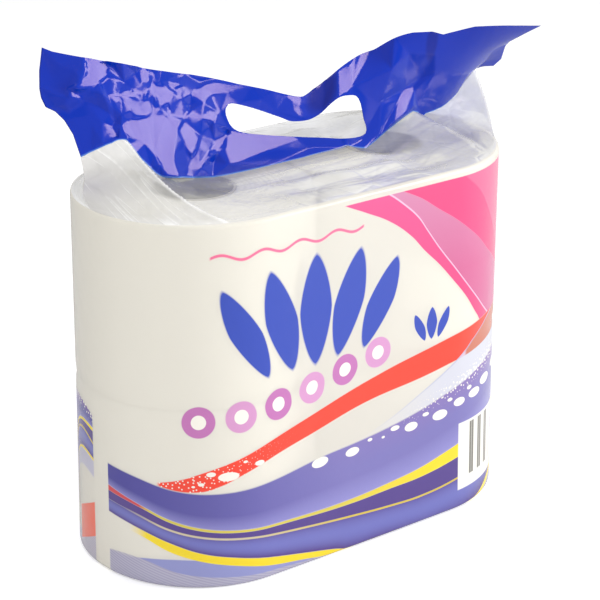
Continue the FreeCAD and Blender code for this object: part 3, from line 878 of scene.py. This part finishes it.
strands = wrinkles((share - crease) * 34.0, climb * 0.8, 4.0, 1.0) ** 2.0 * ((haze - 0.42) * 7.0).clamp()
folds = wrinkles(share * 3.5, climb * 7.0, 9.0, 1.0) ** 1.5
rim_glow = (1 - climb / 0.09).clamp()
left_end = ease(share, 1.70, 1.88).most(1 - ease(share, 0.03, 0.12))
right_end = between(share, 0.60, 0.78, 1.22, 1.40)
valley = between(share, 0.36, 0.45, 0.58, 0.68) * (1 - ease(climb, 0.35, 0.75))
far_side = between(share, 1.18, 1.34, 1.66, 1.8)
# Painted glints: thin white lines on the wrinkles, mostly left of the crease, painted into the film's
# colour.
painted_glint = strands * (left_of * 0.6 + 0.06)
shaded_fold = folds * between(share, 0.28, 0.42, 0.8, 0.95)
on_crease = on_crease * (streak * 1.6).clamp()
veil = (
    left_of * 0.12 + on_crease * 0.35 + rim_glow * 0.3 + painted_glint * 0.3 + left_end * 0.42 + right_end * 0.22
    + valley * 0.4 + far_side * 0.45 + shaded_fold * 0.14 + (haze - 0.4).math("MULTIPLY", 0.5, clamp=True))
clear_finish.link("Alpha", (veil + 0.28).least(0.94))
shade_band = near(climb - 0.55 + (share - 0.75) * 2.6, 0.22) * right_end
left_shade_patch = near(climb - 0.45, 0.3) * left_end * on_front
# Painted light and shade in the film's colour: the back layer is painted whiter where the handle shades it,
# and the front of the left end, a band at the right end, a patch at the left and the folds are painted grey
# as shade.
milky_and_painted_light = clear_finish.mix(far_side.most(1 - on_front), colour(238, 237, 234), colour(255, 255, 255))
milky_and_painted_light = clear_finish.mix(left_end * on_front * 0.7, milky_and_painted_light, colour(214, 212, 210))
milky_and_painted_light = clear_finish.mix((shade_band * 0.7).most(left_shade_patch * 0.6), milky_and_painted_light, colour(194, 191, 202))
milky_and_painted_light = clear_finish.mix(shaded_fold * 0.55, milky_and_painted_light, colour(176, 173, 190))
# The painted glints are white, and so is the crease line: white folded film with a painted highlight along
# it.
clear_finish.link("Base Color", clear_finish.mix(painted_glint.most(on_crease), milky_and_painted_light, colour(255, 255, 255)))
crinkle = clear_finish.cells(46.0, "DISTANCE_TO_EDGE")
relief = haze * 0.7 + (crinkle * 6.0).least(0.35) * 0.4 + streak * 0.2 + strands * left_of * 0.25
clear_finish.bump(relief, 0.0022, (1 - left_end * 0.7) * 0.5)

# %% Blue handle
handle_finish = Finish(
    "blue film", Roughness=0.12, Specular_IOR_Level=0.28, Specular_Tint=colour(246, 206, 192))
girth, above = handle_finish.map_parts("print")
foot_line = (above - FILM_TOP).clamp()
cloud = handle_finish.noise(14.0, 2.0)
ink = handle_finish.mix(cloud, colour(0, 42, 162), colour(0, 54, 182))
fold_share = 1 - abs(girth / HALF_GIRTH - 1)
rise = (above - FILM_TOP) / HANDLE_HEIGHT


def painted_shade_oval(share_at, rise_at, wide, high):
    """A soft oval of painted shade, where a fold of the handle lies in shadow and its ink is painted
    darker.
    """
    across, along = (fold_share - share_at) / wide, (rise - rise_at) / high
    return (1.5 - (across * across + along * along) * 1.5).clamp()


# Painted shade: the blue is painted darker in the dip of the strap and on a fold of the crest.
painted_fold_shade = painted_shade_oval(0.563, 0.86, 0.042, 0.34).most(painted_shade_oval(0.798, 0.88, 0.013, 0.26) * 0.7)
ink = handle_finish.mix(painted_fold_shade * 0.75, ink, colour(0, 28, 122))
handle_finish.link("Base Color", handle_finish.mix(foot_line, colour(96, 142, 214), ink))
fine = handle_finish.noise(60.0, 3.0, 0.5)
handle_finish.bump(fine, 0.0009, 0.22)
films = (sleeve_finish, bare_finish, clear_finish, handle_finish)
print("film finishes:", ", ".join(finish.material.name for finish in films))

# %% [markdown]
# ## The folded handle
# The net of creases is sampled on the handle's grid. The folds stand out towards the side that the
# photograph shows, the front left, and the two layers lie close together. Faces inside the hand hole are
# left out, and the points round it are moved onto its outline, so that the cut edge is smooth.

# %% The hand hole
HOLE_OUTLINE = [
    (0.375, 0.66), (0.376, 0.72), (0.385, 0.767), (0.413, 0.756), (0.439, 0.725), (0.477, 0.659),
    (0.495, 0.612), (0.516, 0.604), (0.535, 0.606), (0.559, 0.641), (0.582, 0.69), (0.604, 0.695),
    (0.626, 0.65), (0.646, 0.585), (0.657, 0.471), (0.664, 0.307), (0.671, 0.178), (0.664, 0.138),
    (0.643, 0.154), (0.601, 0.208), (0.55, 0.29), (0.496, 0.375), (0.449, 0.414), (0.42, 0.439),
    (0.403, 0.464), (0.39, 0.508), (0.381, 0.577),
]
COLUMNS, HANDLE_ROWS = 420, 72
ROW_STEP = 0.76    # from one row to the next in the map
HANDLE_GAP = 0.3    # between the two layers of the handle
TOWARDS = np.array([-0.584, -0.731, 0.353])   # the way that folds stand out
# At the right fold, the back layer hangs out below the front one as a small flap
TUCK_ALONG = trim((0.95, 0.0), (0.995, 1.0), (1.0, 0.0))
TUCK_UP = trim((0.08, 0.0), (0.2, 1.0), (0.56, 0.0))
TUCK_WAY = np.array([3.0, -0.9, -5.4])

shares = np.linspace(0.0, 1.0, COLUMNS + 1)
rises = np.linspace(0.0, 1.0, HANDLE_ROWS + 1)[:, None]
heights = np.interp(shares, *FOOT_TRIM) * (1 - rises) + np.interp(shares, *CREST_TRIM) * rises
grid_shares = np.broadcast_to(shares, heights.shape).copy()


def closed_outline(points, steps):
    """A smooth closed line through the points."""
    ring = np.array(points[-1:] + points + points[:2], float)
    curve = smooth_curve(np.arange(len(ring)), ring)
    return curve(np.linspace(1, len(points) + 1, steps, endpoint=False))


def inside(outline, across, above):
    """Which places of two arrays lie inside an outline, by counting crossings."""
    odd = np.zeros(across.shape, bool)
    for one, two in zip(outline, np.roll(outline, -1, axis=0)):
        if one[1] == two[1]:
            continue
        crossed = (one[1] > above) != (two[1] > above)
        odd ^= crossed & (across < (two[0] - one[0]) * (above - one[1]) / (two[1] - one[1]) + one[0])
    return odd


def fit_to_outline(outline, across, above):
    """Moves the grid points next to an outline onto it, and says which points are inside."""
    size = np.array([HANDLE_LENGTH, HANDLE_HEIGHT])
    open_part = inside(outline, across, above)
    ends = np.roll(outline, -1, axis=0)
    near = np.zeros_like(open_part)
    for shift, axis in ((1, 0), (-1, 0), (1, 1), (-1, 1)):
        near |= np.roll(open_part, shift, axis) != open_part
    for row, column in zip(*np.nonzero(near & open_part)):
        place = np.array([across[row, column], above[row, column]]) * size
        start, way = outline * size, (ends - outline) * size
        part = np.clip(((place - start) * way).sum(1) / (way ** 2).sum(1), 0, 1)
        closest = start + way * part[:, None]
        best = closest[((closest - place) ** 2).sum(1).argmin()] / size
        across[row, column], above[row, column] = best
    return open_part & ~near


hole = closed_outline(HOLE_OUTLINE, 150)
inner_points = fit_to_outline(hole, grid_shares, heights)
print("hand hole", round(np.ptp(hole[:, 0]) * HANDLE_LENGTH), "mm long")

# %% Make the handle
net = soften(fold_heights(CREASE_POINTS, grid_shares, heights), 1)


def handle_layer(front):
    """The folded rows of one layer of the handle."""
    rows = []
    for share_row, height_row, fold_row in zip(grid_shares, heights, net):
        row = handle_place(share_row, height_row) + fold_row[:, None] * TOWARDS
        row[:, 1] += front * HANDLE_GAP / 2 * np.sin(pi * share_row) ** 0.3
        if front > 0:
            tuck = np.interp(share_row, *TUCK_ALONG) * np.interp(height_row, *TUCK_UP)
            row += tuck[:, None] * TUCK_WAY
        rows.append(row)
    return rows


points, maps, faces = [], [], []
for front in (-1, 1):
    start = len(points)
    for number, row in enumerate(handle_layer(front)):
        points += list(row)
        along = grid_shares[number] if front < 0 else 2 - grid_shares[number]
        maps += list(np.stack([along * HALF_GIRTH, np.full(COLUMNS + 1, FILM_TOP + number * ROW_STEP)], 1))
    gone = inner_points.ravel()
    for quad in grid_faces(HANDLE_ROWS + 1, COLUMNS + 1, start, front > 0):
        if not gone[np.array(quad) - start].any():
            faces.append(quad)
handle = make_object("film_handle", points, faces, maps, (handle_finish,))
weld_folds(handle)
dress(handle, "film_bag")
print("handle:", len(handle.data.polygons), "faces")

# %% Make the sleeve and the shoulders
SLEEVE_COLUMNS = 240
girth_shares = np.linspace(0.0, 1.0, SLEEVE_COLUMNS + 1)
sleeve_heights = np.concatenate([
    BASE_TURN * (1 - np.cos(np.linspace(0, pi / 2, 5))),
    np.linspace(BASE_TURN, FILM_TOP - RIM_TURN, 64)[1:],
    FILM_TOP - RIM_TURN * (1 - np.sin(np.linspace(0, pi / 2, 6)[1:])),
])
climbs = np.linspace(0.0, 1.0, 37)


def tube(name, row_at, levels, map_levels, finishes):
    """A tube of film between rows of points, welded at its two folds."""
    points, maps, faces = [], [], []
    for front in (-1, 1):
        start = len(points)
        for level, map_level in zip(levels, map_levels):
            points += list(row_at(girth_shares, front, level))
            along = girth_shares if front < 0 else 2 - girth_shares
            maps += list(np.stack([along * HALF_GIRTH, np.full(SLEEVE_COLUMNS + 1, map_level)], 1))
        faces += grid_faces(len(levels), SLEEVE_COLUMNS + 1, start, front > 0)
    made = make_object(name, points, faces, maps, finishes)
    weld_folds(made)
    return made


sleeve = tube("film_sleeve", sleeve_row, sleeve_heights, sleeve_heights, (sleeve_finish, bare_finish))
closing = bmesh.new()
closing.from_mesh(sleeve.data)
borders = [edge for edge in closing.edges if edge.is_boundary]
rim = [edge for edge in borders if max(end.co.z for end in edge.verts) < 1 * MM]
base_faces = bmesh.ops.contextual_create(closing, geom=rim)["faces"]
for face in base_faces:
    face.material_index = 1
closing.to_mesh(sleeve.data)
closing.free()
dress(sleeve, "film_bag")

shoulders = tube("film_shoulders", shoulder_row, climbs, FILM_TOP + SHOULDER_RUN * climbs, (clear_finish,))
dress(shoulders, "film_bag")
print("sleeve and shoulders:", len(sleeve.data.polygons), "and", len(shoulders.data.polygons), "faces")

# %% [markdown]
# ## The rolls
# A roll is hundreds of turns of soft paper. On its ends the turns show as fine uneven rings, and its rims
# are soft. The winding is turned from a profile whose rings rise and fall a little, which gives the end
# its grain without a line for each sheet.

# %% Paper and board
paper_finish = Finish("tissue paper", Roughness=0.95)
around, _ = paper_finish.map_parts("print")
grain = paper_finish.noise(160.0, 4.0, 0.6)
paper_finish.link("Base Color", paper_finish.mix(grain, colour(246, 243, 232), colour(233, 230, 220)))
quilt = paper_finish.cells(260.0)
turns = (around * 2.2).math("SINE")
paper_finish.bump(quilt * 0.6 + grain * 0.8 + turns * 0.12, 0.0007, 0.4)

board_finish = Finish("core board", Roughness=0.9)
fibre = board_finish.noise(90.0, 5.0, 0.65)
board_finish.link("Base Color", board_finish.mix(fibre, colour(202, 197, 184), colour(177, 172, 160)))
board_finish.bump(fibre, 0.0005, 0.3)


# %% Make the windings
TURN_RINGS, ROLL_STEPS = 44, 144
RIM_ROUND = 1.6


def winding_profile(inner, outer, low, high, seed):
    """The section of a winding: up the outside, in over the top, down the bore and out below."""
    chance = np.random.default_rng(seed)
    ring = np.linspace(outer - RIM_ROUND, inner, TURN_RINGS)
    rise = chance.normal(0.0, 0.03, TURN_RINGS).clip(-0.08, 0.08)
    angles = np.linspace(0, pi / 2, 6)
    low_rim = [(outer - RIM_ROUND * (1 - sin(a)), low + RIM_ROUND * (1 - cos(a))) for a in angles]
    side = [(outer, level) for level in np.linspace(low + RIM_ROUND, high - RIM_ROUND, 8)[1:-1]]
    high_rim = [(outer - RIM_ROUND * (1 - cos(a)), high - RIM_ROUND * (1 - sin(a))) for a in angles]
    top = [(radius, high - 0.2 + lift) for radius, lift in zip(ring, rise)]
    bottom = [(radius, low + 0.2 - lift) for radius, lift in zip(ring[::-1], rise[::-1])]
    return low_rim + side + high_rim + top[1:] + bottom[:-1]


for number, name in enumerate(sorted(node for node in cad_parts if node.startswith("roll_"))):
    low, high = (np.array(corner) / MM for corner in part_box(name))
    core_low, core_high = (np.array(corner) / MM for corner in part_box(name.replace("roll", "core")))
    middle = (core_low[0] + core_high[0]) / 2
    inner = (core_high[0] - core_low[0]) / 2 + 0.25
    profile = winding_profile(inner, ROLL_RADIUS, low[2], high[2], number)
    points, maps, faces = [], [], []
    for step in range(ROLL_STEPS):
        angle = 2 * pi * step / ROLL_STEPS
        for radius, rise in profile:
            points.append((middle + radius * cos(angle), radius * sin(angle), rise))
            maps.append((radius, rise))
    count = len(profile)
    for step in range(ROLL_STEPS):
        following = (step + 1) % ROLL_STEPS
        for place in range(count):
            further = (place + 1) % count
            faces.append((step * count + place, following * count + place,
                          following * count + further, step * count + further))
    winding = make_object(name + "_winding", points, faces, maps, (paper_finish,))
    dress(winding, name)
for name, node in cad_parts.items():
    if name.startswith("core_"):
        node.data.materials.clear()
        node.data.materials.append(board_finish.material)
print("windings:", number + 1)
